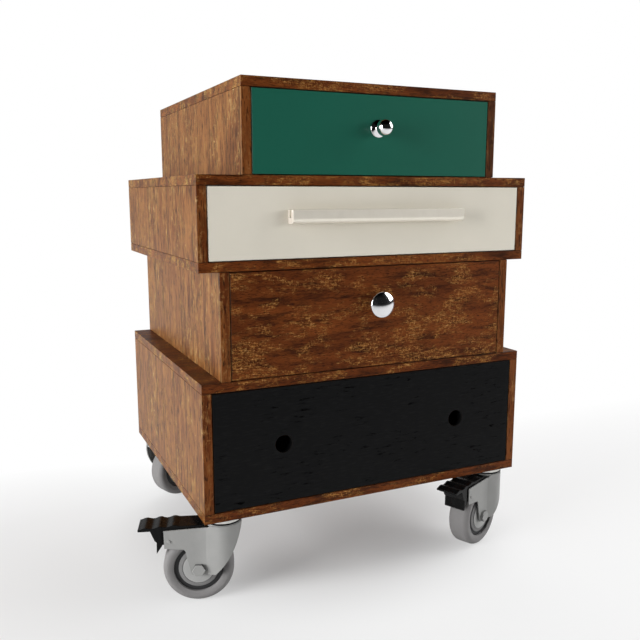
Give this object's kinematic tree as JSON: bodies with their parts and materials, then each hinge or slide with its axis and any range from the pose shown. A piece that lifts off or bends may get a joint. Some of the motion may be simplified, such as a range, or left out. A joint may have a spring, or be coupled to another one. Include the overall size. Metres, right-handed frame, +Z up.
{
  "type": "rolling chest of drawers",
  "caption": "Rolling chest of drawers: stacked wooden boxes of uneven widths, each with a drawer and its own pull, on swivel casters with brake pedals.",
  "frame": {"origin": "middle of the bounding box on the floor, under the carcass", "axes": "+Z up, -Y out of the drawer fronts, +X to the right seen from the front"},
  "size_m": [0.697, 0.5088, 0.726],
  "materials": {
    "walnut": "satin, dark brown with mottled lighter flecks",
    "drawer_wood": "sanded, unpainted",
    "green_paint": "satin dark green paint",
    "cream_paint": "satin cream paint",
    "black_paint": "satin black paint with faint grain",
    "cream_metal": "satin cream paint",
    "chrome": "polished",
    "pressed_steel": "satin zinc",
    "black_plastic": "satin moulded",
    "hub_plastic": "moulded",
    "grey_rubber": "matt"
  },
  "bodies": {
    "carcass": {"bottom_box_top": "walnut", "bottom_box_floor": "walnut", "bottom_box_left_side": "walnut", "bottom_box_right_side": "walnut", "bottom_box_back": "walnut", "lower_box_left_side": "walnut", "lower_box_right_side": "walnut", "lower_box_back": "walnut", "upper_box_top": "walnut", "upper_box_floor": "walnut", "upper_box_left_side": "walnut", "upper_box_right_side": "walnut", "upper_box_back": "walnut", "top_box_top": "walnut", "top_box_left_side": "walnut", "top_box_right_side": "walnut", "top_box_back": "walnut", "front_left_caster_mount": "pressed_steel", "front_right_caster_mount": "pressed_steel", "back_left_caster_mount": "pressed_steel", "back_right_caster_mount": "pressed_steel"},
    "top_drawer": {"top_drawer_front": "green_paint", "top_drawer_left_side": "drawer_wood", "top_drawer_right_side": "drawer_wood", "top_drawer_back": "drawer_wood", "top_drawer_bottom": "drawer_wood", "ball_knob": "chrome"},
    "upper_drawer": {"upper_drawer_front": "cream_paint", "upper_drawer_left_side": "drawer_wood", "upper_drawer_right_side": "drawer_wood", "upper_drawer_back": "drawer_wood", "upper_drawer_bottom": "drawer_wood", "bar_handle": "cream_metal"},
    "lower_drawer": {"lower_drawer_front": "walnut", "lower_drawer_left_side": "drawer_wood", "lower_drawer_right_side": "drawer_wood", "lower_drawer_back": "drawer_wood", "lower_drawer_bottom": "drawer_wood", "dome_knob": "chrome"},
    "bottom_drawer": {"bottom_drawer_front": "black_paint", "bottom_drawer_left_side": "drawer_wood", "bottom_drawer_right_side": "drawer_wood", "bottom_drawer_back": "drawer_wood", "bottom_drawer_bottom": "drawer_wood"},
    "front_left_caster": {"front_left_caster_fork": "pressed_steel"},
    "front_left_wheel": {"front_left_caster_hub": "hub_plastic", "front_left_caster_tyre": "grey_rubber"},
    "front_left_pedal": {"front_left_caster_pedal": "black_plastic"},
    "front_right_caster": {"front_right_caster_fork": "pressed_steel"},
    "front_right_wheel": {"front_right_caster_hub": "hub_plastic", "front_right_caster_tyre": "grey_rubber"},
    "front_right_pedal": {"front_right_caster_pedal": "black_plastic"},
    "back_left_caster": {"back_left_caster_fork": "pressed_steel"},
    "back_left_wheel": {"back_left_caster_hub": "hub_plastic", "back_left_caster_tyre": "grey_rubber"},
    "back_left_pedal": {"back_left_caster_pedal": "black_plastic"},
    "back_right_caster": {"back_right_caster_fork": "pressed_steel"},
    "back_right_wheel": {"back_right_caster_hub": "hub_plastic", "back_right_caster_tyre": "grey_rubber"},
    "back_right_pedal": {"back_right_caster_pedal": "black_plastic"}
  },
  "joints": [
    {"name": "top_drawer_slide", "type": "slide", "parent": "carcass", "child": "top_drawer", "axis": [0, -1, 0], "range_m": [0, 0.3]},
    {"name": "upper_drawer_slide", "type": "slide", "parent": "carcass", "child": "upper_drawer", "axis": [0, -1, 0], "range_m": [0, 0.3]},
    {"name": "lower_drawer_slide", "type": "slide", "parent": "carcass", "child": "lower_drawer", "axis": [0, -1, 0], "range_m": [0, 0.3]},
    {"name": "bottom_drawer_slide", "type": "slide", "parent": "carcass", "child": "bottom_drawer", "axis": [0, -1, 0], "range_m": [0, 0.3]},
    {"name": "front_left_swivel", "type": "hinge", "parent": "carcass", "child": "front_left_caster", "pos_m": [-0.2306, -0.19117, 0.11], "axis": [0, 0, 1], "continuous": true},
    {"name": "front_left_wheel_spin", "type": "hinge", "parent": "front_left_caster", "child": "front_left_wheel", "pos_m": [-0.26386, -0.18043, 0.05], "axis": [-0.3074, -0.9516, 0], "continuous": true},
    {"name": "front_left_brake", "type": "hinge", "parent": "front_left_caster", "child": "front_left_pedal", "pos_m": [-0.30226, -0.16803, 0.0945], "axis": [-0.3074, -0.9516, 0], "range_deg": [0, 8]},
    {"name": "front_right_swivel", "type": "hinge", "parent": "carcass", "child": "front_right_caster", "pos_m": [0.2306, -0.19117, 0.11], "axis": [0, 0, 1], "continuous": true},
    {"name": "front_right_wheel_spin", "type": "hinge", "parent": "front_right_caster", "child": "front_right_wheel", "pos_m": [0.19848, -0.20494, 0.05], "axis": [0.3939, -0.9191, 0], "continuous": true},
    {"name": "front_right_brake", "type": "hinge", "parent": "front_right_caster", "child": "front_right_pedal", "pos_m": [0.16139, -0.22084, 0.0945], "axis": [0.3939, -0.9191, 0], "range_deg": [0, 8]},
    {"name": "back_left_swivel", "type": "hinge", "parent": "carcass", "child": "back_left_caster", "pos_m": [-0.2306, 0.19803, 0.11], "axis": [0, 0, 1], "continuous": true},
    {"name": "back_left_wheel_spin", "type": "hinge", "parent": "back_left_caster", "child": "back_left_wheel", "pos_m": [-0.19763, 0.20963, 0.05], "axis": [-0.3322, 0.9432, 0], "continuous": true},
    {"name": "back_left_brake", "type": "hinge", "parent": "back_left_caster", "child": "back_left_pedal", "pos_m": [-0.15958, 0.22304, 0.0945], "axis": [-0.3322, 0.9432, 0], "range_deg": [0, 8]},
    {"name": "back_right_swivel", "type": "hinge", "parent": "carcass", "child": "back_right_caster", "pos_m": [0.2306, 0.19803, 0.11], "axis": [0, 0, 1], "continuous": true},
    {"name": "back_right_wheel_spin", "type": "hinge", "parent": "back_right_caster", "child": "back_right_wheel", "pos_m": [0.26386, 0.18728, 0.05], "axis": [0.3074, 0.9516, 0], "continuous": true},
    {"name": "back_right_brake", "type": "hinge", "parent": "back_right_caster", "child": "back_right_pedal", "pos_m": [0.30226, 0.17488, 0.0945], "axis": [0.3074, 0.9516, 0], "range_deg": [0, 8]}
  ]
}
